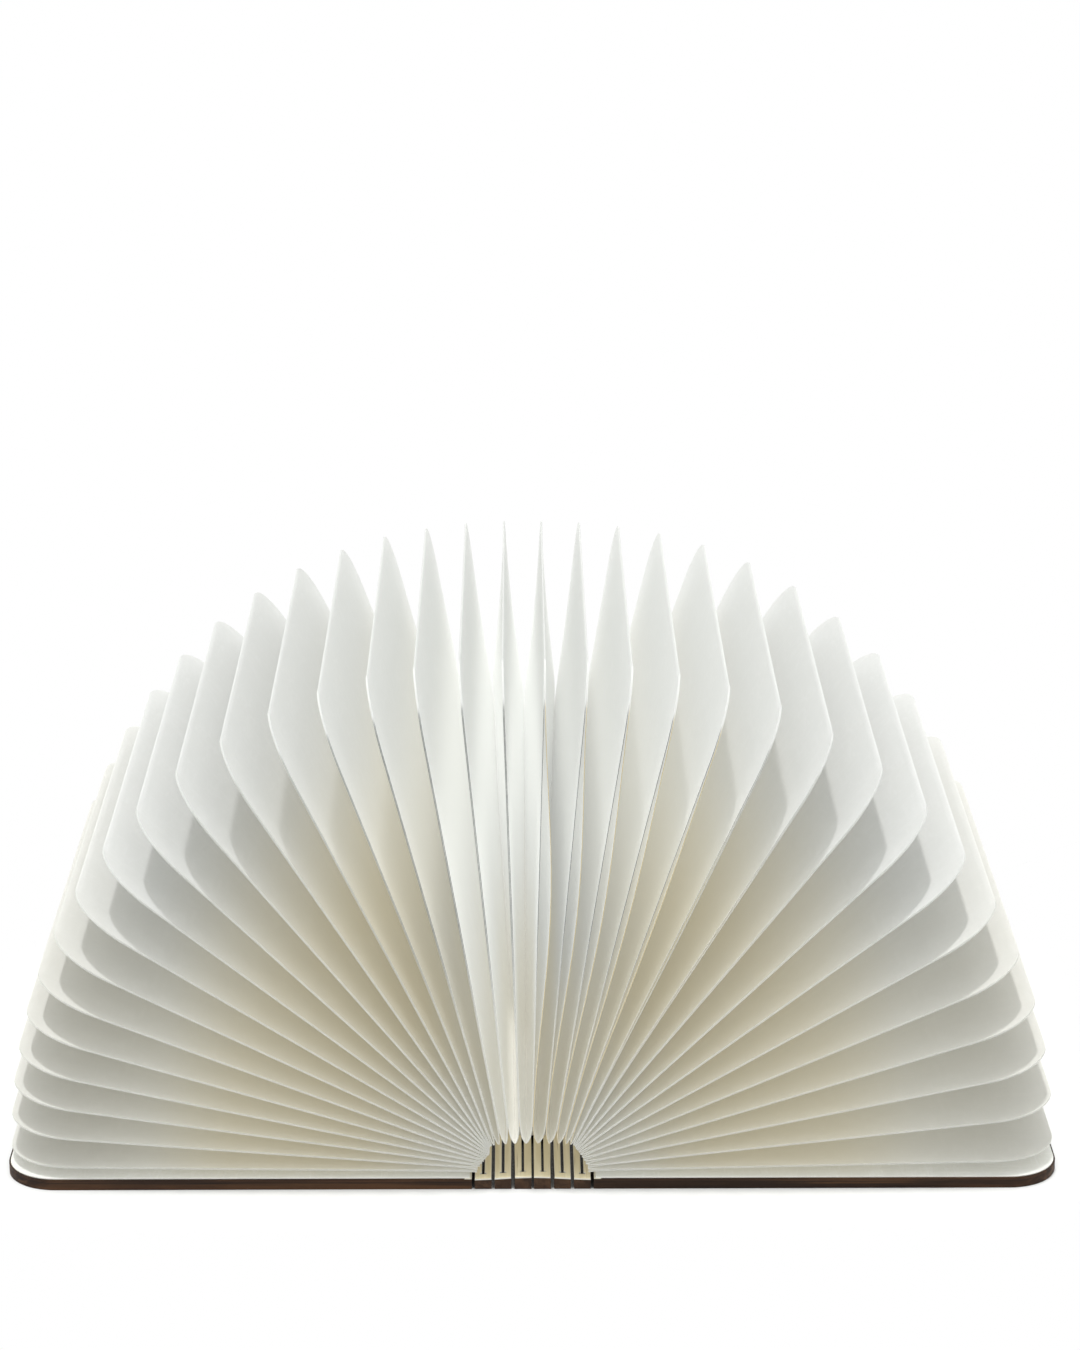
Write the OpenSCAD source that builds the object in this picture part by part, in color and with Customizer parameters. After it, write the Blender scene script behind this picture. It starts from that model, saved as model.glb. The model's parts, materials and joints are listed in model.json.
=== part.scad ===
// Folding book lamp, lying open: two wooden covers joined by a slotted wooden spine, and a
// fan of folded pages that glows from a light module on the spine. Millimetres, +Z up.
// The spine runs along Y, the covers open along X, and the book rests on the plane z = 0.

/* [Covers] */
// Length of the book along its spine
book_height = 216; // [190:1:250]
// Width of one cover board, from the spine to its fore edge
cover_width = 162.7; // [140:0.1:190]
// Thickness of the cover and spine boards
board_t = 3.8; // [3.6:0.1:4.6]
// Radius of the outer corners of the covers
cover_corner_r = 18; // [6:1:30]
// Thickness of the white lining sheet on the inside of each cover
liner_t = 0.3; // [0.2:0.05:0.5]
// How far the lining stays back from the edges of the cover
liner_inset = 0.6; // [0.3:0.1:3]
// Radius of the closing magnets
magnet_r = 5; // [3:0.5:6]
// Thickness of the closing magnets
magnet_t = 2; // [1:0.1:2.4]
// Distance of the closing magnets from the edges of the cover
magnet_edge = 15; // [12:1:25]
// Radius of the magnet that wakes the opening sensor
trigger_magnet_r = 2; // [1.5:0.5:3]
// Distance of that magnet from the cover's spine edge
trigger_magnet_edge = 6; // [5:0.5:12]

/* [Spine] */
// Width of one spine slat, from hinge line to hinge line
slat_pitch = 6.9; // [6.8:0.1:8]
// Width of every slot in the spine
kerf = 1.2; // [1.15:0.05:1.4]
// Distance of the closed slots from the two ends of the spine
slot_inset = 4; // [3:0.5:10]
// Width of the foot at the end of a closed slot
slot_foot_w = 2; // [1.5:0.1:2.4]
// Length of the foot at the end of a closed slot
slot_foot_l = 1; // [0.5:0.1:2]
// Length of the wood left between two slots in line
bridge_l = 12; // [8:1:20]
// Distance of the bridges on the hinge lines from the middle of the spine
bridge_y = 36; // [28:1:60]
// Radius of the round knuckles that the slats turn on
knuckle_r = 1.5; // [1.2:0.05:1.6]
// Running clearance around a knuckle
knuckle_gap = 0.08; // [0.05:0.01:0.1]
// Clearance at the two ends of a knuckle
knuckle_end_gap = 0.3; // [0.2:0.05:0.6]

/* [Pages] */
// Thickness of one folded page, two sheets together
page_t = 0.45; // [0.3:0.05:0.5]
// How far the pages stay back from the two ends of the book
page_end_inset = 1; // [0.5:0.5:6]
// How far the first page stays back from the fore edge of the cover
page_fore_inset = 0.6; // [0.4:0.1:6]
// Radius of the outer corners of a page
page_corner_r = 22; // [6:1:30]
// How far inside the outermost hinge lines the page folds start
fold_inset = 1.3; // [1:0.1:3]
// Height of the lowest page fold above the lining
fold_lift = 2.1; // [1.8:0.1:4]
// Rise of the arch of folds in the middle of the spine
fold_rise = 16.9; // [14:0.1:24]
// How strongly the folds spread apart over the middle of the spine
fold_spread = 0.24; // [0.15:0.01:0.25]
// Number of the page whose fold lies over the middle of the spine
fold_middle = 19; // [17.5:0.5:19]
// Angle of the first page above the left cover
page_lift = 0.7; // [0.5:0.1:2]
// Angle of the last page above the right cover
last_page_lift = 1.2; // [0.5:0.1:2]
// Share of the fan by which the middle pages lean to the right
fan_lean = 0.039; // [0:0.001:0.06]
// Share of the fan by which the pages at its thirds close up
fan_third = 0.007; // [0:0.001:0.01]
// Share of the fan by which the pages at its quarters close up
fan_quarter = 0.012; // [0:0.001:0.014]
// Share of the fan by which the pages at its fifths spread apart
fan_fifth = 0.003; // [0:0.001:0.006]

/* [Light module] */
// Distance of the module from the near end of the book
tray_setback = 36; // [30:1:50]
// Distance of the module from the far end of the book
tray_end_inset = 0.6; // [0.4:0.1:2]
// Outer width of the module
tray_w = 11.8; // [11.4:0.1:12]
// Outer height of the module
tray_h = 4; // [4:0.1:4.2]
// Thickness of the module's floor
tray_floor_t = 0.6; // [0.4:0.05:0.6]
// Thickness of the module's side walls
tray_wall = 0.6; // [0.4:0.05:0.8]
// Thickness of the light diffuser and of the lid beside it
lid_t = 0.6; // [0.4:0.05:0.6]
// Gap around the loose pieces inside the module
fit_gap = 0.1; // [0.05:0.05:0.2]
// Length of the light strip board
led_board_l = 92; // [80:1:96]
// Thickness of the light strip board and of the charging board
circuit_t = 0.8; // [0.6:0.1:1]
// Width of one light emitting chip
led_w = 3.5; // [2:0.1:5]
// Length of one light emitting chip along the spine
led_l = 2.8; // [2:0.1:3.5]
// Height of one light emitting chip
led_h = 0.7; // [0.4:0.05:0.8]
// Number of light emitting chips
led_count = 12; // [4:1:14]
// Length of the wires between the battery cell and the charging board
battery_wire_l = 11.5; // [8:0.5:16]
// Width of the battery cell
battery_w = 7.6; // [6:0.1:8]
// Thickness of the battery cell
battery_t = 2.5; // [1.5:0.1:2.6]
// Radius of one wire
wire_r = 0.35; // [0.25:0.05:0.4]
// Length of the charging board
charge_board_l = 17; // [15:0.5:19]
// Side of the opening sensor chip
sensor_side = 2.4; // [1.5:0.1:3]
// Height of the opening sensor chip
sensor_h = 0.9; // [0.6:0.05:1.2]
// Outer width of the charging socket
socket_w = 8.9; // [7:0.1:9.2]
// Outer height of the charging socket
socket_h = 3.1; // [2.8:0.05:3.2]
// Length of the charging socket
socket_l = 7.3; // [6:0.1:8]
// Wall of the charging socket
socket_wall = 0.3; // [0.2:0.05:0.4]
// Radius of the shank of a module screw
screw_r = 0.7; // [0.5:0.05:0.8]
// Radius of the head of a module screw
screw_head_r = 1.25; // [1:0.05:1.5]
// Length of a module screw
screw_l = 3.4; // [2:0.1:3.8]

/* [Hidden] */
page_count = 34;
slats_per_side = 2;
corner_steps = 9;

function page_name(k) = str("page_", k < 10 ? "0" : "", k);
SIDES = [["left", -1], ["right", 1]];

half_book = book_height / 2;
spine_half_w = (slats_per_side + 1) * slat_pitch;
cover_x0 = spine_half_w + kerf / 2;
half_open = cover_x0 + cover_width;
liner_top = board_t + liner_t;
half_turn = 180;

// Pages: the ridges of the pages lie on one arc and their folds on a lower arch.
fold_half_w = spine_half_w - fold_inset;
fold_foot_z = liner_top + fold_lift;
page_depth = half_open - page_fore_inset - fold_half_w;
page_height = book_height - 2 * page_end_inset;
function fan_share(u) =
    u - fan_lean * sin(half_turn * u) - fan_third * sin(3 * half_turn * u)
    - fan_quarter * sin(4 * half_turn * u) + fan_fifth * sin(5 * half_turn * u);
function ridge_angle(k) =
    half_turn - page_lift
    - (half_turn - page_lift - last_page_lift) * fan_share((k - 1) / (page_count - 1));
function spread(v) = (exp(2 * v) - 1) / (exp(2 * v) + 1);
function fold_point(k) =
    [fold_half_w * spread(fold_spread * (k - fold_middle)), 0,
     fold_foot_z + fold_rise * sin(ridge_angle(k))];
function ridge_point(k) =
    let (a = ridge_angle(k))
    [(fold_half_w + page_depth) * cos(a), 0, fold_foot_z + (fold_rise + page_depth) * sin(a)];
function page_angle(k) =
    let (across = ridge_point(k) - fold_point(k)) atan2(across.z, across.x);

// Light module, from its floor upwards and from its near wall to its far wall.
tray_z0 = board_t;
tray_y0 = -half_book + tray_setback;
tray_y1 = half_book - tray_end_inset;
cavity_w = tray_w - 2 * tray_wall;
cavity_y0 = tray_y0 + tray_wall;
cavity_y1 = tray_y1 - tray_wall;
floor_z = tray_z0 + tray_floor_t;
lid_z = tray_z0 + tray_h - lid_t;
circuit_w = cavity_w - 2 * fit_gap;
led_board_y0 = cavity_y0 + fit_gap;
led_board_y1 = led_board_y0 + led_board_l;
lid_split_y = led_board_y1 + fit_gap;
led_pitch = led_board_l / led_count;
battery_y0 = lid_split_y + lid_t + fit_gap;
socket_y0 = tray_y1 - socket_l;
charge_board_y1 = cavity_y1 - fit_gap;
charge_board_y0 = charge_board_y1 - charge_board_l;
battery_y1 = charge_board_y0 - battery_wire_l;
socket_z = floor_z + socket_h / 2;
light_wire_x = (battery_w + cavity_w) / 4;
battery_wire_x = battery_w / 4;
wire_z = floor_z + circuit_t + wire_r;
wire_lap = 4 * wire_r;
screw_points = [[0, -bridge_y], [0, bridge_y]];

// Helpers
module on_side(side) mirror([side < 0 ? 1 : 0, 0, 0]) children();
module block(x0, x1, y0, y1, z0, z1)
    translate([x0, y0, z0]) cube([x1 - x0, y1 - y0, z1 - z0]);
module rod_y(r, y0, y1)
    translate([0, y0, 0]) rotate([-90, 0, 0]) cylinder(r = r, h = y1 - y0, $fn = 32);
module both_ends() for (m = [0, 1]) mirror([0, m, 0]) children();

// Spine: slats of board turning on round knuckles, with slots between and inside them.
module board(x0, x1) block(x0, x1, -half_book, half_book, 0, board_t);
module closed_slots(x) both_ends() {
    block(x - kerf / 2, x + kerf / 2, bridge_l / 2, half_book - slot_inset, -1, board_t + 1);
    block(x - slot_foot_w / 2, x + slot_foot_w / 2, half_book - slot_inset - slot_foot_l,
          half_book - slot_inset, -1, board_t + 1);
}
module open_slots(x) {
    block(x - kerf / 2, x + kerf / 2, -bridge_y + bridge_l / 2, bridge_y - bridge_l / 2,
          -1, board_t + 1);
    both_ends() block(x - kerf / 2, x + kerf / 2, bridge_y + bridge_l / 2, half_book + 1,
                      -1, board_t + 1);
}
module knuckles(x, r, l) both_ends()
    translate([x, 0, board_t / 2]) rod_y(r, bridge_y - l / 2, bridge_y + l / 2);
module knuckle_recess(x)
    knuckles(x, knuckle_r + knuckle_gap, bridge_l + 2 * knuckle_end_gap);
module spine_slat(n, side) color("sienna") on_side(side) {
    x0 = n * slat_pitch;
    x1 = x0 + slat_pitch;
    difference() {
        union() {
            board(x0 + kerf / 2, x1 - kerf / 2);
            knuckles(x1, knuckle_r, bridge_l);
        }
        closed_slots((x0 + x1) / 2);
        knuckle_recess(x0);
    }
}
module spine_centre() color("sienna") difference() {
    union() {
        board(-slat_pitch + kerf / 2, slat_pitch - kerf / 2);
        for (s = SIDES) knuckles(s[1] * slat_pitch, knuckle_r, bridge_l);
    }
    open_slots(0);
    for (s = SIDES) closed_slots(s[1] * slat_pitch / 2);
    for (p = screw_points) translate([p[0], p[1], -1])
        cylinder(r = screw_r + fit_gap / 2, h = board_t + 2, $fn = 32);
}

// Covers: boards with round outer corners, lined on the inside, with magnets under the lining.
module cover_outline(inset) {
    r = cover_corner_r - inset;
    x1 = half_open - inset;
    y1 = half_book - inset;
    translate([cover_x0 + inset, -y1]) square([x1 - r - cover_x0 - inset, 2 * y1]);
    translate([x1 - 2 * r, -(y1 - r)]) square([2 * r, 2 * (y1 - r)]);
    for (s = SIDES) translate([x1 - r, s[1] * (y1 - r)]) circle(r, $fn = 96);
}
magnet_x = [cover_x0 + magnet_edge, half_open - magnet_edge];
magnet_y = half_book - magnet_edge;
trigger_x = cover_x0 + trigger_magnet_edge;
trigger_y = charge_board_y0 + sensor_side;
module disc_magnets(r, t) for (x = magnet_x) both_ends()
    translate([x, magnet_y, board_t - t]) cylinder(r = r, h = t, $fn = 48);
module trigger_disc(r, t)
    translate([trigger_x, trigger_y, board_t - t]) cylinder(r = r, h = t, $fn = 48);
module cover(side) color("saddlebrown") on_side(side) difference() {
    linear_extrude(board_t) cover_outline(0);
    knuckle_recess(spine_half_w);
    disc_magnets(magnet_r + fit_gap, magnet_t + fit_gap);
    if (side < 0) trigger_disc(trigger_magnet_r + fit_gap, magnet_t + fit_gap);
}
module cover_liner(side) color("white") on_side(side)
    translate([0, 0, board_t]) linear_extrude(liner_t) cover_outline(liner_inset);
module cover_magnets(side) color("silver") on_side(side) disc_magnets(magnet_r, magnet_t);
module trigger_magnet() color("silver") on_side(-1) trigger_disc(trigger_magnet_r, magnet_t);

// Pages: each is a folded sheet with round outer corners, standing on the arch of folds.
function corner_arc(a0, a1) = [for (i = [0:corner_steps])
    let (a = a0 + (a1 - a0) * i / corner_steps) page_corner_r * [cos(a), sin(a)]];
module page(k) {
    a = page_angle(k);
    corner = [page_depth - page_corner_r, page_height / 2 - page_corner_r];
    outline = concat(
        [[0, page_height / 2], [0, -page_height / 2]],
        [for (p = corner_arc(-90, 0)) p + [corner[0], -corner[1]]],
        [for (p = corner_arc(0, 90)) p + corner]);
    color("ivory") translate(fold_point(k)) rotate([0, -a, 0])
        translate([0, 0, -page_t / 2]) linear_extrude(page_t) polygon(outline);
}

// Light module: a flat tray screwed to the middle of the spine.
module socket_outline(inset) {
    r = socket_h / 2 - inset;
    w = socket_w - 2 * inset - 2 * r;
    square([w, 2 * r], center = true);
    for (s = SIDES) translate([s[1] * w / 2, 0]) circle(r, $fn = 32);
}
module socket_bar(inset, y0, y1) translate([0, y1, socket_z]) rotate([90, 0, 0])
    linear_extrude(y1 - y0) socket_outline(inset);
module module_tray() color("whitesmoke") difference() {
    block(-tray_w / 2, tray_w / 2, tray_y0, tray_y1, tray_z0, lid_z);
    block(-cavity_w / 2, cavity_w / 2, cavity_y0, cavity_y1, floor_z, lid_z + 1);
    for (p = screw_points) translate([p[0], p[1], tray_z0 - 1])
        cylinder(r = screw_head_r + fit_gap, h = tray_floor_t + 2, $fn = 32);
    socket_bar(-fit_gap, cavity_y1 - 1, tray_y1 + 1);
}
module light_strip_board() color("white")
    block(-circuit_w / 2, circuit_w / 2, led_board_y0, led_board_y1,
          floor_z, floor_z + circuit_t);
module light_chips() color("gold") for (i = [0:led_count - 1])
    translate([0, led_board_y0 + (i + 0.5) * led_pitch, floor_z + circuit_t + led_h / 2])
        cube([led_w, led_l, led_h], center = true);
module diffuser() color("floralwhite")
    block(-tray_w / 2, tray_w / 2, tray_y0, lid_split_y, lid_z, lid_z + lid_t);
module service_lid() color("whitesmoke") difference() {
    union() {
        block(-tray_w / 2, tray_w / 2, lid_split_y, tray_y1, lid_z, lid_z + lid_t);
        block(-battery_w / 2, battery_w / 2, lid_split_y, lid_split_y + lid_t,
              lid_z - lid_t, lid_z + lid_t / 2);
    }
    socket_bar(-fit_gap, socket_y0 - fit_gap, tray_y1 + 1);
}
module battery_cell() color("lightsteelblue")
    block(-battery_w / 2, battery_w / 2, battery_y0, battery_y1, floor_z, floor_z + battery_t);
module charging_board() color("seagreen") difference() {
    block(-circuit_w / 2, circuit_w / 2, charge_board_y0, charge_board_y1,
          floor_z, floor_z + circuit_t);
    block(-socket_w / 2, socket_w / 2, socket_y0, tray_y1, floor_z - 1, lid_z);
}
module charging_socket() color("silver") difference() {
    socket_bar(0, socket_y0, tray_y1);
    socket_bar(socket_wall, socket_y0 + socket_wall, tray_y1 + 1);
}
module opening_sensor() color("dimgray")
    translate([0, trigger_y, floor_z + circuit_t + sensor_h / 2])
        cube([sensor_side, sensor_side, sensor_h], center = true);
module module_screws() color("gray") for (p = screw_points) translate([p[0], p[1], 0]) {
    translate([0, 0, floor_z - screw_l]) cylinder(r = screw_r, h = screw_l, $fn = 32);
    translate([0, 0, tray_z0]) cylinder(r = screw_head_r, h = tray_floor_t - fit_gap, $fn = 32);
}
module battery_wires() color("crimson") for (s = SIDES)
    translate([s[1] * battery_wire_x, 0, wire_z]) rod_y(wire_r, battery_y1, charge_board_y0 + wire_lap);
module light_wires() color("orange") for (s = SIDES) translate([s[1] * light_wire_x, 0, wire_z])
    rod_y(wire_r, led_board_y1 - wire_lap, charge_board_y0 + wire_lap);

spine_centre();
spine_slat(1, -1);  // left_inner_slat
spine_slat(2, -1);  // left_outer_slat
spine_slat(1, 1);  // right_inner_slat
spine_slat(2, 1);  // right_outer_slat
cover(-1);  // left_cover
cover(1);  // right_cover
cover_liner(-1);  // left_cover_liner
cover_liner(1);  // right_cover_liner
cover_magnets(-1);  // left_cover_magnets
cover_magnets(1);  // right_cover_magnets
trigger_magnet();
module_tray();
light_strip_board();
light_chips();
diffuser();
battery_cell();
service_lid();
charging_board();
charging_socket();
opening_sensor();
module_screws();
battery_wires();
light_wires();
for (k = [1:page_count]) page(k);
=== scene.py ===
"""Looks of the folding book lamp, lying open: walnut covers, a slotted spine and a fan of pages.

Metres, in the frame of the CAD part: +X across the open book, +Y along the spine, +Z up.
Pages are numbered from the left cover. The near end is the one at -Y.
"""

import json
import math

import bmesh
import bpy
import numpy as np
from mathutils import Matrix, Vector


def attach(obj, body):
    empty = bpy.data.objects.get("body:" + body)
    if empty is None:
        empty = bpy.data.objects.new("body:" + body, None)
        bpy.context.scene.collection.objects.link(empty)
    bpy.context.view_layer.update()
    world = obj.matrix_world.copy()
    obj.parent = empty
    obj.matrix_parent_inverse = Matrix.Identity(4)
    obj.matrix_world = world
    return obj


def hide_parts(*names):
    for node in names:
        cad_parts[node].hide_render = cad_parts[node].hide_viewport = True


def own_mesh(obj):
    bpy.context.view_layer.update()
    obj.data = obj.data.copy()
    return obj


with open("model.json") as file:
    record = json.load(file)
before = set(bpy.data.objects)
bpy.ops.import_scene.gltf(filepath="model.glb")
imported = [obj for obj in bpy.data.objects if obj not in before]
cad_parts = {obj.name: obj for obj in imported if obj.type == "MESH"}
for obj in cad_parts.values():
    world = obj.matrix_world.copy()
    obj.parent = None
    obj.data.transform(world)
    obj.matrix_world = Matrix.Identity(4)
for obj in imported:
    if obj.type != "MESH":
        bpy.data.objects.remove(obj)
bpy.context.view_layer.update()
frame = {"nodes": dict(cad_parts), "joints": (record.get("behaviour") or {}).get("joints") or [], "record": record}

MM = 0.001

# Camera, as the photograph was taken: degrees, and millimetres for the lens and the sensor
CAMERA_PLACE = (-0.00522, -1.29247, 0.56490)
CAMERA_TILT = 72.332
CAMERA_YAW = -0.374
CAMERA_LENS = 99.66
CAMERA_SENSOR_W = 36
CAMERA_CLIP = (0.01, 50)

# Lamps and the white room round the object
KEY = 1.22
KEY_PLACE = (-0.075, 0.02, 1.0)
KEY_SPREAD = 3.0
TOP = 5.5
BACK = 4.0
ROOM_FRONT = 0.74
ROOM_BACK = 0.93

# Floor: it is lit up a little except where the object is close, and drawn only round the object
FLOOR_HALF_W = 8.0
FLOOR_Z = -0.05 * MM
FLOOR_LIFT = 0.22
CONTACT_REACH = 12 * MM
FLOOR_SEEN_REACH = 40 * MM

# Painted glow of the pages, standing in for light that the thin sheets pass on: by the fold, further out, in the
# middle pages and in upright gaps
GLOW_PAINTED_FOLD = 0.085
GLOW_PAINTED_OUT = 0.095
GLOW_PAINTED_MIDDLE = 0.085
GLOW_PAINTED_UPRIGHT = 0.075

# Pages: folded sheets of white fibrous paper, thinner where folds lie close together
SHEET_T = 0.27 * MM
THIN_SHEET_T = 0.12 * MM
FOLD_GAP = 0.03 * MM
CORNER_R = 22 * MM
PEAK_LENGTH = 1.8 * MM
SLACK = 0.05 * MM
SHUT_LEAF_T = 0.30 * MM
# Last page whose lower leaf gets painted warm light on its cut edge
INNER_LAYER_STOP = 1.02 * SHEET_T
LAST_PAINTED_WARM_EDGE = 23

# How the leaves bow out: towards the near end, and towards the far end from a pinched place between
PINCH = 0.42
NEAR_PUFF = 3.8 * MM
NEAR_PUFF_FROM = 18
NEAR_PUFF_SPREAD = 3.6
NEAR_PUFF_FADE = 1.3
FAR_PUFF = 8.7 * MM
FAR_PUFF_PAGE = 18.5
FAR_PUFF_SPREAD = 1.1
FAR_PUFF_FADE = 1.5
FAR_UPPER_PUFF = 4.7 * MM
FAR_UPPER_PUFF_PAGE = 18.35
FAR_UPPER_PUFF_SPREAD = 1.75
FAR_CLOSE_R = 94 * MM
LEAST_ROOM = 0.01 * MM
CROWD_POWER = 12

# Steps of a page's mesh
R_STEPS = 26
CORNER_STEPS = 9
LENGTH_STEPS = 16
SAME_PLACE = 1e-9

# The folds hang lower towards the near end of the spine
DROOP_ROOM = 0.3 * MM
DROOP_FROM = -56 * MM
DROOP_TO = -100 * MM

# Spine and covers: eased edges, narrow slots and a slight crown at the near end
BOARD_T = 3.8 * MM
NEAR_END = -108 * MM
SLOT_PITCH = 3.45 * MM
LAST_SLOT = 6
SLOT_HALF = 0.45 * MM
HINGE_SLOT_HALF = 0.53 * MM
CAD_SLOT_HALF = 0.6 * MM
HINGE_Z = 1.9 * MM
FIRST_HINGE_X = 2 * SLOT_PITCH
HALF_FOLD = 15.5
EASED = 0.25 * MM
EASED_STEPS = 2
EASED_PROFILE = 0.6
RIM_ANGLE = 60
FLAT_ANGLE = 1
ON_FACE = 0.01 * MM
WELD = 0.001 * MM
WALL_REACH = 1.1 * EASED
CROWN = 0.95 * MM
CROWN_FROM = -74 * MM
CROWN_HALF_W = 20.7 * MM
CROWN_CUTS = (-76 * MM, -84 * MM, -92 * MM, -100 * MM)

# Edges sharper than this are drawn sharp, in degrees
SHARP_SHEET = 35
SHARP_SOLID = 30


def link(obj):
    bpy.context.scene.collection.objects.link(obj)
    return obj


def smooth_shading(mesh, sharp):
    mesh.shade_smooth()
    mesh.set_sharp_from_angle(angle=math.radians(sharp))


def mesh_object(name, verts, faces):
    mesh = bpy.data.meshes.new(name)
    mesh.from_pydata([tuple(v) for v in verts], [], faces)
    mesh.validate()
    bm = bmesh.new()
    bm.from_mesh(mesh)
    bmesh.ops.recalc_face_normals(bm, faces=bm.faces)
    bm.to_mesh(mesh)
    bm.free()
    smooth_shading(mesh, SHARP_SHEET)
    return link(bpy.data.objects.new(name, mesh))


def add_uv(obj, name, uvs):
    """Give a mesh a named map, from one pair of numbers for each vertex."""
    layer = obj.data.uv_layers.new(name=name)
    loops = np.zeros(len(obj.data.loops), np.int32)
    obj.data.loops.foreach_get("vertex_index", loops)
    layer.data.foreach_set("uv", np.array(uvs, np.float32)[loops].ravel())


# Materials
class Tree:
    """Short calls for building one node tree."""

    def __init__(self, data):
        data.use_nodes = True
        self.tree = data.node_tree
        self.tree.nodes.clear()

    def add(self, kind, inputs=None, **settings):
        node = self.tree.nodes.new(kind)
        for key, value in settings.items():
            setattr(node, key, value)
        for key, value in (inputs or {}).items():
            if isinstance(value, bpy.types.NodeSocket):
                self.tree.links.new(value, node.inputs[key])
            else:
                node.inputs[key].default_value = value
        return node

    def math(self, operation, a, b=0.0):
        return self.add("ShaderNodeMath", {0: a, 1: b}, operation=operation).outputs[0]

    def absolute(self, value):
        return self.math("ABSOLUTE", value)

    def product(self, first, *factors):
        for factor in factors:
            first = self.math("MULTIPLY", first, factor)
        return first

    def smooth(self, value, low, high, to_low=0.0, to_high=1.0):
        return self.add("ShaderNodeMapRange", {"Value": value, "From Min": low, "From Max": high,
                                               "To Min": to_low, "To Max": to_high},
                        interpolation_type="SMOOTHSTEP").outputs["Result"]

    def mix(self, factor, a, b):
        return self.add("ShaderNodeMix", {0: factor, 6: a, 7: b}, data_type="RGBA").outputs[2]

    def blend(self, factor, a, b):
        return self.add("ShaderNodeMix", {0: factor, 2: a, 3: b}, data_type="FLOAT").outputs[0]

    def noise(self, vector, scale, detail=3.0, roughness=0.5, distortion=0.0):
        return self.add("ShaderNodeTexNoise", {"Vector": vector, "Scale": scale, "Detail": detail,
                                               "Roughness": roughness,
                                               "Distortion": distortion}).outputs["Fac"]

    def stretched(self, vector, scale, turn=0.0):
        return self.add("ShaderNodeMapping", {"Vector": vector, "Scale": scale,
                                              "Rotation": (0, 0, math.radians(turn))}).outputs[0]

    def place(self):
        """The place on the object at rest, in metres."""
        return self.add("ShaderNodeTexCoord").outputs["Object"]

    def normal(self):
        return self.add("ShaderNodeNewGeometry").outputs["Normal"]

    def uv(self, name):
        return self.add("ShaderNodeUVMap", uv_map=name).outputs[0]

    def xyz(self, vector):
        return self.add("ShaderNodeSeparateXYZ", {"Vector": vector}).outputs

    def openness(self, reach):
        """1 where nothing is within reach, and 0 where the surface is closed in."""
        return self.add("ShaderNodeAmbientOcclusion", {"Distance": reach}).outputs["AO"]

    def bump(self, height, distance, strength=1.0):
        return self.add("ShaderNodeBump", {"Height": height, "Distance": distance,
                                           "Strength": strength}).outputs[0]

    def diffuse(self, colour):
        return self.add("ShaderNodeBsdfDiffuse", {"Color": colour}).outputs[0]

    def principled(self, inputs):
        return self.add("ShaderNodeBsdfPrincipled", inputs).outputs[0]

    def mix_shaders(self, factor, a, b):
        return self.add("ShaderNodeMixShader", {0: factor, 1: a, 2: b}).outputs[0]

    def output(self, shader, kind="ShaderNodeOutputMaterial"):
        self.add(kind, {"Surface": shader})


def rgb(r, g, b):
    return (r, g, b, 1.0)


def new_material(name):
    material = bpy.data.materials.new(name)
    return material, Tree(material)


def fibres(tree, place):
    """Two crossed, stretched noises: the swirled fibres of a nonwoven sheet."""
    fine, drawn_out = 420, 420 * 0.22
    one_way = tree.stretched(place, (fine, drawn_out, fine), 28)
    other_way = tree.stretched(place, (drawn_out, fine, fine), -22)
    return tree.math("MAXIMUM", tree.noise(one_way, 1.0, 4.0, 0.6, 1.2),
                     tree.noise(other_way, 1.0, 4.0, 0.6, 1.2))


def painted_fold_warmth(tree, radius, lean, upright, cloud):
    """Painted warm light: a cream tint in a ring round the folds, and only by the fold in the middle pages."""
    ring = tree.product(tree.smooth(radius, 0.0, 0.050, 0.45, 1.0),
                        tree.smooth(radius, 0.070, 0.150, 1.0, 0.0))
    outer_pages = tree.product(tree.smooth(lean, 0.75, 0.95), tree.smooth(radius, 0.050, 0.110, 0.0, 0.42))
    ring = tree.math("MAXIMUM", ring, outer_pages)
    heart = tree.smooth(radius, 0.015, 0.070, 0.6, 0.0)
    return tree.product(tree.blend(tree.smooth(lean, 0.05, 0.45), heart, ring),
                        tree.smooth(upright, 0.0, 1.0, 1.0, 0.35),
                        tree.smooth(cloud, 0.2, 0.8, 0.85, 1.15))


def cut_edge_painted_tone(tree, radius, lean, under, fibre):
    """Colour of the cut edges, with painted shade that darkens them in the middle pages and painted warm light on
    the lower leaves of a few.
    """
    dark = tree.product(tree.smooth(lean, 0.2, 0.6, 1.0, 0.0), tree.smooth(radius, 0.030, 0.080))
    tone = tree.mix(dark, rgb(0.84, 0.84, 0.81), rgb(0.30, 0.31, 0.31))
    tone = tree.mix(tree.product(under, 0.8), tone, rgb(0.84, 0.70, 0.40))
    return tree.mix(tree.smooth(fibre, 0.4, 0.7, 0.0, 0.3), tone, rgb(0.70, 0.70, 0.67))


def painted_page_glow(tree, radius, lean, upright, edge):
    """Strength of the painted glow that stands in for the light which the thin sheets pass on from fold to fold.
    """
    all_pages = tree.product(tree.smooth(radius, 0.0, 0.110, GLOW_PAINTED_FOLD, GLOW_PAINTED_OUT),
                             tree.smooth(radius, 0.100, 0.168, 1.0, 0.35))
    middle = tree.product(tree.smooth(radius, 0.050, 0.120, 0.25, 1.0),
                          tree.smooth(lean, 0.10, 0.65, GLOW_PAINTED_MIDDLE, 0.0))
    middle = tree.math("ADD", middle, tree.product(upright, GLOW_PAINTED_UPRIGHT))
    return tree.product(tree.math("ADD", all_pages, middle), tree.smooth(edge, 0.0, 1.0, 1.0, 0.0))


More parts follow.
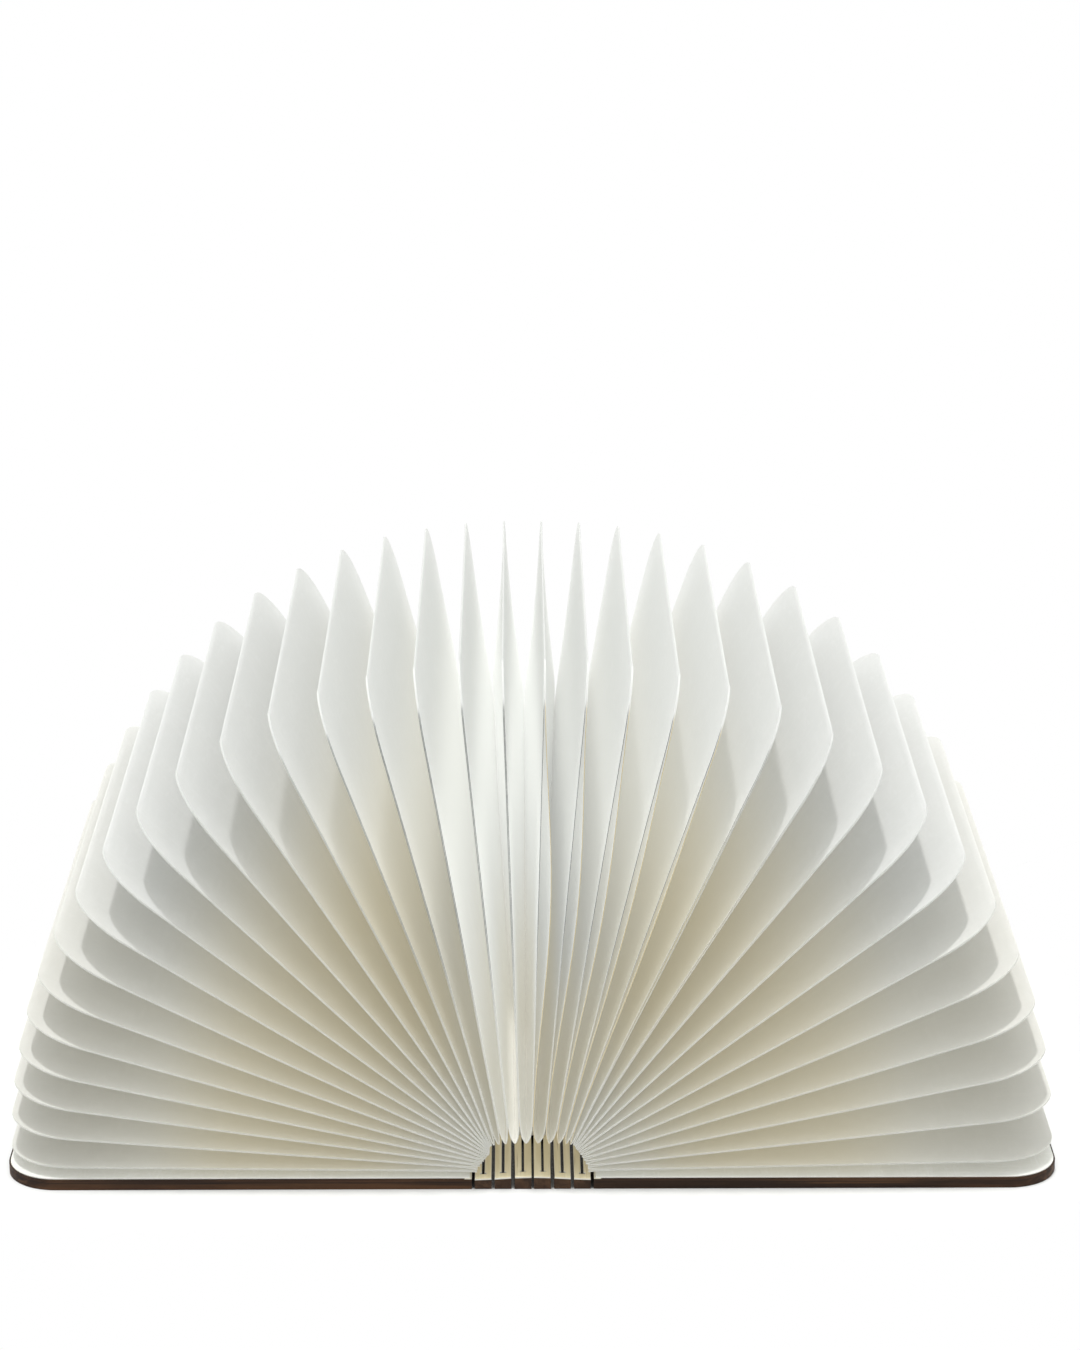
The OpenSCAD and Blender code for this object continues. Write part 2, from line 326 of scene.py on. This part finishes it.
def page_material():
    """White fibrous paper that lets light through, with painted warm light that tints it cream in the depth of the
    folds, painted shade and warm light on its cut edges, and a painted glow.
    """
    material, tree = new_material("page_paper")
    place = tree.uv("page")
    radius = tree.xyz(place)[0]
    lean = tree.xyz(tree.uv("lean"))[0]
    gap_lean, under, _ = tree.xyz(tree.uv("leaf"))
    # Upright gaps in the middle, where a painted glow stands in for the light from above that falls between the
    # pages
    upright = tree.product(tree.smooth(radius, 0.0, 0.080, 0.6, 1.0),
                           tree.smooth(radius, 0.085, 0.140, 1.0, 0.0),
                           tree.smooth(tree.absolute(tree.math("ADD", gap_lean, 0.066)),
                                       0.08, 0.12, 1.0, 0.0))
    fibre = fibres(tree, place)
    cloud = tree.noise(place, 24, 2.0)
    # Painted warm light in the depth of the folds, which tints both the colour and the glow
    painted_warmth = painted_fold_warmth(tree, radius, lean, upright, cloud)
    edge = tree.smooth(tree.absolute(tree.xyz(tree.normal())[1]), 0.80, 0.95)
    # Cut edges: painted shade in the middle pages, painted warm light on a few lower leaves
    edge_tone = cut_edge_painted_tone(tree, radius, lean, under, fibre)

    tone = tree.mix(tree.smooth(fibre, 0.45, 0.72), rgb(0.862, 0.866, 0.855), rgb(0.902, 0.905, 0.897))
    tone = tree.mix(tree.smooth(cloud, 0.3, 0.7, 0.0, 0.25), tone, rgb(0.855, 0.865, 0.86))
    tone = tree.mix(tree.product(painted_warmth, 0.65), tone, rgb(0.885, 0.845, 0.73))
    tone = tree.mix(edge, tone, edge_tone)
    height = tree.math("ADD", tree.product(fibre, 0.6), tree.product(cloud, 0.4))
    sheet = tree.principled({
        "Base Color": tone, "Roughness": 0.62, "Normal": tree.bump(height, 0.06 * MM, 0.6),
        "Specular IOR Level": 0.25,
        "Emission Color": tree.mix(painted_warmth, rgb(0.985, 1.0, 0.985), rgb(1.0, 0.94, 0.76)),
        # Painted glow, warm by the folds
        "Emission Strength": painted_page_glow(tree, radius, lean, upright, edge)})
    through_tone = tree.mix(edge, rgb(0.885, 0.885, 0.865), edge_tone)
    through = tree.add("ShaderNodeBsdfTranslucent", {"Color": through_tone}).outputs[0]
    tree.output(tree.mix_shaders(0.30, sheet, through))
    return material


def wood_grain(tree, place, along):
    """Grain lines, bands and pores that run along one axis: 'x' or 'y'."""
    def drawn_out(lengthwise, across):
        scale = (lengthwise, across, across) if along == "x" else (across, lengthwise, across)
        return tree.stretched(place, scale)

    line = tree.noise(drawn_out(9, 260), 1.0, 5.0, 0.65, 0.6)
    band = tree.noise(drawn_out(5, 55), 1.0, 3.0, 0.5, 1.4)
    pore = tree.noise(drawn_out(40, 1400), 1.0, 2.0, 0.5)
    return line, band, pore


def cover_material():
    """Dark oiled walnut, with a darker glue line in its edge and a pale strip inside, by the spine."""
    material, tree = new_material("cover_walnut")
    place = tree.place()
    line, band, pore = wood_grain(tree, place, "x")
    x, _, z = tree.xyz(place)
    dark = rgb(0.012, 0.0065, 0.004)
    tone = tree.mix(tree.smooth(band, 0.30, 0.72), dark, rgb(0.040, 0.018, 0.0085))
    tone = tree.mix(tree.smooth(line, 0.42, 0.70, 0.0, 0.8), tone, rgb(0.110, 0.050, 0.020))
    tone = tree.mix(tree.smooth(pore, 0.60, 0.72, 0.0, 0.7), tone, dark)
    glue = tree.product(tree.smooth(z, 2.35 * MM, 2.5 * MM), tree.smooth(z, 2.65 * MM, 2.8 * MM, 1.0, 0.0))
    tone = tree.mix(tree.product(glue, 0.7), tone, dark)
    pale_strip = tree.product(tree.smooth(z, 3.66 * MM, 3.76 * MM),
                              tree.smooth(tree.absolute(x), 23.5 * MM, 24.0 * MM, 1.0, 0.0))
    tone = tree.mix(pale_strip, tone, rgb(0.78, 0.74, 0.62))
    height = tree.math("SUBTRACT", line, tree.smooth(pore, 0.6, 0.72, 0.0, 0.6))
    tree.output(tree.principled({
        "Base Color": tone, "Roughness": tree.smooth(line, 0.3, 0.7, 0.66, 0.54),
        "Normal": tree.bump(height, 0.08 * MM, 0.8), "Specular IOR Level": 0.22}))
    return material


def spine_material():
    """Walnut outside, a cream edge and tan wood on the inside whose warm tone and glow are partly painted lamp
    light, and dark walls in the slots.
    """
    material, tree = new_material("spine_wood")
    line, band, pore = wood_grain(tree, tree.place(), "y")
    z = tree.xyz(tree.uv("ply"))[0]
    walnut = tree.mix(tree.smooth(band, 0.3, 0.7), rgb(0.026, 0.012, 0.006), rgb(0.070, 0.032, 0.014))
    walnut = tree.mix(tree.smooth(line, 0.42, 0.72, 0.0, 0.8), walnut, rgb(0.10, 0.052, 0.026))
    # Tan inner face: wood grain in a warm tone that partly holds painted lamp light
    tan_with_painted_lamp_light = tree.mix(tree.smooth(line, 0.35, 0.7), rgb(0.74, 0.65, 0.43), rgb(0.86, 0.78, 0.58))
    tan_with_painted_lamp_light = tree.mix(tree.smooth(pore, 0.62, 0.74, 0.0, 0.6), tan_with_painted_lamp_light, rgb(0.40, 0.31, 0.17))
    cream = tree.mix(tree.smooth(line, 0.35, 0.7), rgb(0.80, 0.77, 0.68), rgb(0.86, 0.84, 0.77))
    tone = tree.mix(tree.smooth(z, 3.74 * MM, 3.79 * MM), cream, tan_with_painted_lamp_light)
    tone = tree.mix(tree.smooth(z, 3.30 * MM, 3.40 * MM), walnut, tone)
    wall = tree.smooth(tree.absolute(tree.xyz(tree.normal())[0]), 0.80, 0.95)
    tone = tree.mix(wall, tone, rgb(0.052, 0.026, 0.012))
    tree.output(tree.principled({
        "Base Color": tone, "Roughness": 0.6, "Normal": tree.bump(line, 0.06 * MM, 0.8),
        # Painted glow on the inner face, standing in for the lamp light under the folds
        "Specular IOR Level": 0.25, "Emission Color": tone,
        "Emission Strength": tree.smooth(z, 3.70 * MM, 3.79 * MM, 0.0, 0.14)}))
    return material


def lining_material():
    """Matt white paper with the same fibres as the pages, and a faint painted glow against the shade of the pages
    above it.
    """
    material, tree = new_material("lining_paper")
    fibre = fibres(tree, tree.place())
    tone = tree.mix(tree.smooth(fibre, 0.45, 0.75), rgb(0.84, 0.84, 0.80), rgb(0.89, 0.89, 0.86))
    tree.output(tree.principled({
        "Base Color": tone, "Roughness": 0.65, "Normal": tree.bump(fibre, 0.05 * MM, 0.6),
        # Painted glow, brightening the lining where the pages shade it
        "Emission Color": tone, "Emission Strength": tree.smooth(fibre, 0.3, 0.8, 0.10, 0.13)}))
    return material


def speckled_material(name, low, high, roughness, metallic=0.0, glow=None):
    """A moulded, plated or printed surface: a fine mottle in colour, roughness and height.

    glow is the colour and the strength of its own light.
    """
    material, tree = new_material(name)
    place = tree.place()
    grain = tree.noise(place, 900, 3.0, 0.6)
    cloud = tree.noise(place, 75, 2.0)
    tone = tree.mix(tree.smooth(grain, 0.3, 0.7), rgb(*low), rgb(*high))
    tone = tree.mix(tree.smooth(cloud, 0.35, 0.75, 0.0, 0.3), tone, rgb(*low))
    inputs = {"Base Color": tone, "Metallic": metallic,
              "Roughness": tree.smooth(grain, 0.3, 0.7, roughness * 0.85, roughness * 1.15),
              "Normal": tree.bump(grain, 0.03 * MM, 0.6)}
    if glow:
        colour, strength = glow
        inputs["Emission Color"] = rgb(*colour)
        inputs["Emission Strength"] = tree.smooth(cloud, 0.2, 0.8, strength * 0.9, strength * 1.1)
    tree.output(tree.principled(inputs))
    return material


def brushed_material(name, low, high, roughness):
    """Metal with fine lines along the spine."""
    material, tree = new_material(name)
    lines = tree.noise(tree.stretched(tree.place(), (2600, 60, 2600)), 1.0, 3.0, 0.6)
    tree.output(tree.principled({
        "Base Color": tree.mix(lines, rgb(*low), rgb(*high)), "Metallic": 1.0,
        "Roughness": tree.smooth(lines, 0.3, 0.7, roughness, roughness * 1.5),
        "Normal": tree.bump(lines, 0.02 * MM, 0.5)}))
    return material


def dress(material, *nodes):
    """Give CAD nodes a material."""
    for name in nodes:
        mesh = frame["nodes"][name].data
        mesh.materials.clear()
        mesh.materials.append(material)
        smooth_shading(mesh, SHARP_SOLID)


# Heights of the spine, which the pages keep clear of
def smoothstep(v):
    v = min(max(v, 0.0), 1.0)
    return v * v * (3 - 2 * v)


def crown_at(x, y):
    """How far the spine's inner face is raised: most in its middle, at the near end."""
    across = max(1 - (x / CROWN_HALF_W) ** 2, 0.0) ** 2
    return CROWN * across * smoothstep((y - CROWN_FROM) / (NEAR_END - CROWN_FROM))


def shut_spine_top(x):
    """Height of the spine's near end at x when the book is shut and its inner slats are folded up."""
    top = BOARD_T + crown_at(x, NEAR_END)
    beyond = x - FIRST_HINGE_X
    if beyond < 0:
        return top
    fold = math.radians(2 * HALF_FOLD)
    return HINGE_Z + (top - HINGE_Z) / math.cos(fold) + beyond * math.tan(fold)


# Pages
class Page:
    """A page's place at rest, read from its plain CAD plate: its fold, directions and size.

    angle is its turn above the right cover, and pivot the line that it turns about.
    """

    def __init__(self, name, number, angle, pivot):
        self.name = name
        self.number = number
        self.angle = angle
        self.out = np.array([math.cos(angle), 0.0, math.sin(angle)])
        self.normal = np.array([-math.sin(angle), 0.0, math.cos(angle)])
        points = np.array([v.co for v in frame["nodes"][name].data.vertices], float)
        reach = points @ self.out
        self.fold = self.out * reach.min() + self.normal * (points @ self.normal).mean()
        self.depth = reach.max() - reach.min()
        self.half_height = np.abs(points[:, 1]).max()
        x, z = self.fold[0] - pivot[0], self.fold[2] - pivot[2]
        self.shut_x = pivot[0] + x * math.sin(angle) - z * math.cos(angle)
        self.shut_z = pivot[2] + x * math.cos(angle) + z * math.sin(angle)


def read_pages():
    """Each page's turn between open and shut gives its angle above the right cover."""
    drive = next(joint for joint in frame["joints"] if joint["name"] == "left_cover_fold")
    shut = drive["range_deg"][1]
    pivots = {joint["name"]: joint["pos_m"] for joint in frame["joints"]}
    pages = []
    for coupling in frame["record"]["behaviour"]["couplings"]:
        joint = coupling["joint"]
        if joint.startswith("page_"):
            angle = math.radians(90 + shut * coupling["ratio"])
            pages.append(Page(joint.removesuffix("_turn"), len(pages) + 1, angle, pivots[joint]))
    return pages


def gap_to(page, other, r):
    """Distance between two neighbouring pages at a radius, across the first one."""
    place = page.fold + page.out * r
    return abs((place - other.fold) @ other.normal)


def bell(number, centre, width):
    return math.exp(-((number - centre) / width) ** 2)


def is_upper(page, side):
    """Whether the leaf on this side of the page, 1 or -1, faces up."""
    return side * (90 - math.degrees(page.angle)) > 0


def wanted_puff(page, side, r, y):
    """How far a leaf would bow out on its own."""
    along = min(max((y + page.half_height) / (2 * page.half_height), 0.0), 1.0)
    swell = math.sin(math.pi * min(max(r / page.depth, 0.0), 1.0))
    at_far = max(along - PINCH, 0.0) / (1 - PINCH)
    at_near = max(1 - along / PINCH, 0.0)
    from_ridge = max(page.depth - r, 0.0) / (page.depth - FAR_CLOSE_R)
    if is_upper(page, side):
        bow = FAR_UPPER_PUFF * bell(page.number, FAR_UPPER_PUFF_PAGE, FAR_UPPER_PUFF_SPREAD)
        return bow * at_far * from_ridge ** 2
    near = SLACK
    if side < 0 and page.number > NEAR_PUFF_FROM:
        near += NEAR_PUFF * bell(page.number, NEAR_PUFF_FROM + 1, NEAR_PUFF_SPREAD)
    far = FAR_PUFF * bell(page.number, FAR_PUFF_PAGE, FAR_PUFF_SPREAD) * from_ridge ** FAR_PUFF_FADE
    return near * at_near ** NEAR_PUFF_FADE * swell ** 2 + (far + SLACK * swell) * at_far


def sheet_at(gap):
    """The sheet's thickness, less where two folds lie close together."""
    return min(SHEET_T, max(gap / 2 - 2 * FOLD_GAP, THIN_SHEET_T))


def droop(page, y):
    """How far the fold hangs below its arch at y: near the near end, as far as the shut spine lets it."""
    top = shut_spine_top(abs(page.shut_x) + SHUT_LEAF_T)
    room = max(page.shut_z - top - DROOP_ROOM, 0.0)
    return room * smoothstep((y - DROOP_FROM) / (DROOP_TO - DROOP_FROM))


def leaf_offset(page, side, other, r, y):
    """Distance of a leaf's inner face from the middle of the page."""
    gap = gap_to(page, other, r)
    by_fold = math.exp(-(r + droop(page, y)) / PEAK_LENGTH)
    fold = (gap / 2 - sheet_at(gap) - FOLD_GAP) * by_fold
    mine = wanted_puff(page, side, r, y)
    theirs = wanted_puff(other, -side, r, y)
    room = max(gap - 2 * sheet_at(gap) - 4 * FOLD_GAP, LEAST_ROOM)
    crowd = (1 + ((mine + theirs) / room) ** CROWD_POWER) ** (-1 / CROWD_POWER)
    return FOLD_GAP + max(fold, 0.0) + mine * crowd * (1 - by_fold)


def page_rows(half_height):
    """Places along the page, close together round the corners."""
    arc = [half_height - CORNER_R * (1 - math.sin(math.pi / 2 * i / CORNER_STEPS))
           for i in range(1, CORNER_STEPS + 1)]
    flat = half_height - CORNER_R
    middle = [flat * (2 * i / LENGTH_STEPS - 1) for i in range(LENGTH_STEPS + 1)]
    return [-a for a in reversed(arc)] + middle + arc


def into_corner(page, y):
    """How far y is past the straight part of the ridge, or 0."""
    over = abs(y) - (page.half_height - CORNER_R)
    return over if over > SAME_PLACE else 0.0


def reach_at(page, y):
    """How far the page reaches at y: less round the corners."""
    over = into_corner(page, y)
    if not over:
        return page.depth
    return page.depth - CORNER_R + math.sqrt(max(CORNER_R ** 2 - over ** 2, 0.0))


def radial_steps():
    """Shares of the reach: close together by the fold and by the ridge."""
    return [0.5 * (1 - math.cos(math.pi * i / R_STEPS)) for i in range(R_STEPS + 1)]


def page_shell(page, others):
    """Two leaves joined at the ridge, open at both ends and over the spine.

    A leaf is 1 or -1, the side of the page that it is on, and its layer is 0 inside and 1 outside.
    """
    rows = page_rows(page.half_height)
    steps = radial_steps()
    gap_lean = {leaf: math.cos((page.angle + others[leaf].angle) / 2) for leaf in others}
    painted_warm_edge = NEAR_PUFF_FROM < page.number <= LAST_PAINTED_WARM_EDGE
    verts, places, leaves, faces, index = [], [], [], [], {}

    def vertex(row, leaf, step, layer):
        y = rows[row]
        straight = not into_corner(page, y)
        joined = straight and step == R_STEPS
        key = (row, 0 if joined else leaf, step, layer)
        if key in index:
            return index[key]
        start = -droop(page, y)
        r = start + steps[step] * (reach_at(page, y) - start)
        if joined:
            offset = 0.0
            r -= 0.0 if layer else SHEET_T
        else:
            offset = leaf_offset(page, leaf, others[leaf], r, y)
            offset += layer * sheet_at(gap_to(page, others[leaf], r))
            if straight and layer == 0:
                r = min(r, page.depth - INNER_LAYER_STOP)
        point = page.fold + page.out * r + page.normal * leaf * offset
        verts.append((point[0], y, point[2]))
        places.append((r, y))
        leaves.append((gap_lean[leaf], float(painted_warm_edge and not is_upper(page, leaf))))
        index[key] = len(verts) - 1
        return index[key]

    def face(leaf, *corners):
        faces.append([vertex(row, leaf, step, layer) for row, step, layer in corners])

    last_row = len(rows) - 1
    for leaf in (-1, 1):
        for row in range(last_row):
            for step in range(R_STEPS):
                for layer in (0, 1):
                    face(leaf, (row, step, layer), (row + 1, step, layer),
                         (row + 1, step + 1, layer), (row, step + 1, layer))
            face(leaf, (row, 0, 0), (row + 1, 0, 0), (row + 1, 0, 1), (row, 0, 1))
            if into_corner(page, rows[row]) or into_corner(page, rows[row + 1]):
                face(leaf, (row, R_STEPS, 0), (row + 1, R_STEPS, 0),
                     (row + 1, R_STEPS, 1), (row, R_STEPS, 1))
        for row in (0, last_row):
            for step in range(R_STEPS):
                face(leaf, (row, step, 0), (row, step + 1, 0), (row, step + 1, 1), (row, step, 1))
    obj = mesh_object(page.name.replace("page_", "page_sheet_"), verts, faces)
    add_uv(obj, "page", places)
    add_uv(obj, "lean", [(abs(math.cos(page.angle)), 0.0)] * len(verts))
    add_uv(obj, "leaf", leaves)
    return obj


def page_half_thickness(page, others):
    """Greatest distance of a leaf's outer face from the middle of the page."""
    places = [(share * page.depth, y) for share in radial_steps()
              for y in (-page.half_height, 0.0, page.half_height)]
    places.append((-droop(page, -page.half_height), -page.half_height))
    return max(leaf_offset(page, side, others[side], r, y) + SHEET_T
               for side in (-1, 1) for r, y in places)


def build_pages(material):
    pages = read_pages()
    last = len(pages)
    for number, page in enumerate(pages, 1):
        before = pages[number - 2] if number > 1 else pages[1]
        after = pages[number] if number < last else pages[last - 2]
        others = {1: before, -1: after}
        obj = page_shell(page, others)
        obj.data.materials.append(material)
        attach(obj, page.name)
        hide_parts(page.name)
        keep = min(1.0, SHUT_LEAF_T / page_half_thickness(page, others))
        tuple(page.normal)
        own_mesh(obj)


# Boards: the covers and the slats of the spine
def nearest_slot(x):
    """Number of the slot that x is nearest to, counted from 0 in the middle, and x from its middle."""
    number = round(x / SLOT_PITCH)
    return number, x - number * SLOT_PITCH


def is_hinge(number):
    """Every second slot to each side of the middle one is a hinge."""
    return number != 0 and number % 2 == 0


def slot_half(number):
    return HINGE_SLOT_HALF if is_hinge(number) else SLOT_HALF


def narrow_slots(x):
    """Move a slot's wall in towards the middle of its slot."""
    number, off = nearest_slot(x)
    if abs(abs(off) - CAD_SLOT_HALF) < ON_FACE and abs(number) <= LAST_SLOT:
        return number * SLOT_PITCH + math.copysign(slot_half(number), off)
    return x


def folding_room(x, z):
    """Lean a crowned wall of a hinge slot back, so that the slats can fold up."""
    number, off = nearest_slot(x)
    needed = (z - HINGE_Z) * math.tan(math.radians(HALF_FOLD))
    is_wall = abs(abs(off) - slot_half(number)) < WALL_REACH
    if is_hinge(number) and is_wall and abs(off) < needed:
        return number * SLOT_PITCH + math.copysign(needed, off)
    return x


def ease_edges(bm):
    """Round the rims of the board's two faces a little."""
    def on_face(v):
        return v.co.z < ON_FACE or v.co.z > BOARD_T - ON_FACE

    def is_rim(edge):
        a, b = edge.verts
        return (on_face(a) and on_face(b) and abs(a.co.z - b.co.z) < ON_FACE
                and len(edge.link_faces) == 2 and edge.calc_face_angle() > math.radians(RIM_ANGLE))

    bmesh.ops.bevel(bm, geom=[edge for edge in bm.edges if is_rim(edge)], offset=EASED,
                    segments=EASED_STEPS, profile=EASED_PROFILE, affect="EDGES",
                    clamp_overlap=True, material=-1)


def cut_for_crown(bm):
    """Give the board enough points along its near part to bend."""
    for y in CROWN_CUTS:
        bmesh.ops.bisect_plane(bm, geom=bm.verts[:] + bm.edges[:] + bm.faces[:],
                               plane_co=(0, y, 0), plane_no=(0, 1, 0))
    bmesh.ops.triangulate(bm, faces=bm.faces)


def raise_crown(bm):
    """Raise the upper half of the board, most at its inner face."""
    for v in bm.verts:
        if v.co.z > BOARD_T / 2:
            v.co.z += crown_at(v.co.x, v.co.y) * (2 * v.co.z / BOARD_T - 1)
            v.co.x = folding_room(v.co.x, v.co.z)


def build_board(node, material, crowned):
    """The CAD board with eased edges and narrower slots, and its map of heights before the crown."""
    bm = bmesh.new()
    bm.from_mesh(frame["nodes"][node].data)
    bmesh.ops.remove_doubles(bm, verts=bm.verts, dist=WELD)
    bmesh.ops.dissolve_limit(bm, angle_limit=math.radians(FLAT_ANGLE), verts=bm.verts, edges=bm.edges)
    for v in bm.verts:
        v.co.x = narrow_slots(v.co.x)
    ease_edges(bm)
    if crowned:
        cut_for_crown(bm)
    heights = [(v.co.z, 0.0) for v in bm.verts]
    if crowned:
        raise_crown(bm)
    mesh = bpy.data.meshes.new(node + "_eased")
    bm.to_mesh(mesh)
    bm.free()
    smooth_shading(mesh, SHARP_SOLID)
    obj = link(bpy.data.objects.new(node + "_eased", mesh))
    mesh.materials.append(material)
    add_uv(obj, "ply", heights)
    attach(obj, "spine" if node == "spine_centre" else node)
    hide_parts(node)


def build_boards():
    walnut = cover_material()
    spine = spine_material()
    for side in ("left", "right"):
        build_board(side + "_cover", walnut, False)
        build_board(side + "_inner_slat", spine, True)
        build_board(side + "_outer_slat", spine, True)
    build_board("spine_centre", spine, True)


def dress_cad_nodes():
    """Finish the linings, the magnets and the light module."""
    dress(lining_material(), "left_cover_liner", "right_cover_liner")
    dress(speckled_material("magnet_nickel", (0.5, 0.5, 0.5), (0.66, 0.65, 0.63), 0.28, metallic=1.0),
          "left_cover_magnets", "right_cover_magnets", "trigger_magnet")
    dress(speckled_material("module_white", (0.72, 0.71, 0.67), (0.80, 0.79, 0.76), 0.5),
          "module_tray", "service_lid")
    dress(speckled_material("diffuser_frost", (0.85, 0.78, 0.62), (0.92, 0.86, 0.72), 0.6,
                            glow=((1.0, 0.75, 0.42), 0.25)), "diffuser")
    dress(speckled_material("board_white", (0.75, 0.76, 0.73), (0.82, 0.82, 0.80), 0.3),
          "light_strip_board")
    dress(speckled_material("board_green", (0.012, 0.07, 0.03), (0.02, 0.11, 0.05), 0.32),
          "charging_board")
    dress(speckled_material("chip_amber", (0.8, 0.55, 0.12), (0.92, 0.70, 0.25), 0.25,
                            glow=((1.0, 0.72, 0.38), 0.5)), "light_chips")
    dress(speckled_material("battery_foil", (0.45, 0.46, 0.48), (0.62, 0.63, 0.65), 0.38, metallic=0.9),
          "battery_cell")
    dress(brushed_material("socket_steel", (0.42, 0.42, 0.43), (0.6, 0.6, 0.61), 0.25),
          "charging_socket")
    dress(speckled_material("chip_black", (0.01, 0.01, 0.01), (0.025, 0.025, 0.027), 0.45),
          "opening_sensor")
    dress(brushed_material("screw_steel", (0.3, 0.3, 0.31), (0.46, 0.46, 0.47), 0.3), "module_screws")
    dress(speckled_material("wire_red", (0.35, 0.02, 0.015), (0.5, 0.04, 0.03), 0.4),
          "battery_wires", "light_wires")


# Stage
def seen_directly(tree):
    """1 for camera, mirror and glass rays, which see the white background."""
    path = tree.add("ShaderNodeLightPath").outputs
    either = tree.math("MAXIMUM", path["Is Camera Ray"], path["Is Glossy Ray"])
    return tree.math("MAXIMUM", either, path["Is Transmission Ray"])


def floor_material():
    """Pale grey for the light that it throws back, and near white with the object's shadow as seen."""
    material, tree = new_material("floor_white")
    tone = tree.mix(tree.noise(tree.place(), 3.0, 2.0), rgb(0.78, 0.78, 0.78), rgb(0.80, 0.80, 0.80))
    openness = tree.openness(CONTACT_REACH)
    lift = tree.add("ShaderNodeEmission", {"Color": rgb(1, 1, 1),
                                           "Strength": tree.product(openness, FLOOR_LIFT)}).outputs[0]
    # Painted shade: dark brown where the floor is closed in, so that it shows dark through the slots of the spine
    seen_tone = tree.mix(tree.smooth(openness, 0.10, 0.30), rgb(0.020, 0.010, 0.005), tone)
    seen = tree.add("ShaderNodeAddShader", {0: tree.diffuse(seen_tone), 1: lift}).outputs[0]
    # Away from the object it gives way to the white world, so it hides less of a book folded back
    clear = tree.add("ShaderNodeBsdfTransparent").outputs[0]
    near_object = tree.smooth(tree.openness(FLOOR_SEEN_REACH), 0.80, 0.97, 1.0, 0.0)
    shown = tree.mix_shaders(near_object, clear, seen)
    tree.output(tree.mix_shaders(seen_directly(tree), tree.diffuse(tone), shown))
    return material


def build_floor():
    side, z = FLOOR_HALF_W, FLOOR_Z
    corners = [(-side, -side, z), (side, -side, z), (side, side, z), (-side, side, z)]
    floor = mesh_object("floor", corners, [(0, 1, 2, 3)])
    floor.data.materials.append(floor_material())


def build_world():
    """A room a little brighter behind the object, and plain white where it is seen."""
    world = bpy.data.worlds.new("studio")
    bpy.context.scene.world = world
    tree = Tree(world)
    way = tree.add("ShaderNodeTexCoord").outputs["Generated"]
    strength = tree.smooth(tree.xyz(way)[1], -0.8, 0.8, ROOM_FRONT, ROOM_BACK)
    room = tree.add("ShaderNodeBackground", {"Color": rgb(0.965, 0.985, 0.965),
                                             "Strength": strength}).outputs[0]
    white = tree.add("ShaderNodeBackground", {"Color": rgb(1, 1, 1), "Strength": 1.0}).outputs[0]
    tree.output(tree.mix_shaders(seen_directly(tree), room, white), "ShaderNodeOutputWorld")


def aim(obj, place, target):
    obj.location = place
    obj.rotation_euler = (Vector(target) - Vector(place)).to_track_quat("-Z", "Y").to_euler()


def area_light(name, place, target, size, power):
    data = bpy.data.lights.new(name, "AREA")
    data.shape = "RECTANGLE"
    data.size, data.size_y = size
    data.energy = power
    aim(link(bpy.data.objects.new(name, data)), place, target)


def build_lights():
    key = bpy.data.lights.new("key", "SUN")
    key.energy = KEY
    key.angle = math.radians(KEY_SPREAD)
    aim(link(bpy.data.objects.new("key", key)), KEY_PLACE, (0, 0, 0))
    area_light("top_panel", place=(0, 0.1, 1.6), target=(0, 0.05, 0.1), size=(1.6, 1.2), power=TOP)
    area_light("back_panel", place=(0, 1.7, 0.75), target=(0, 0, 0.1), size=(2.4, 1.1), power=BACK)


def build_camera():
    data = bpy.data.cameras.new("camera")
    data.lens = CAMERA_LENS
    data.sensor_width = CAMERA_SENSOR_W
    data.clip_start, data.clip_end = CAMERA_CLIP
    camera = link(bpy.data.objects.new("camera", data))
    camera.location = CAMERA_PLACE
    camera.rotation_euler = (math.radians(CAMERA_TILT), 0, math.radians(CAMERA_YAW))
    bpy.context.scene.camera = camera


build_camera()
build_world()
build_lights()
build_floor()
build_boards()
dress_cad_nodes()
build_pages(page_material())
bpy.context.scene.view_settings.view_transform = "Standard"
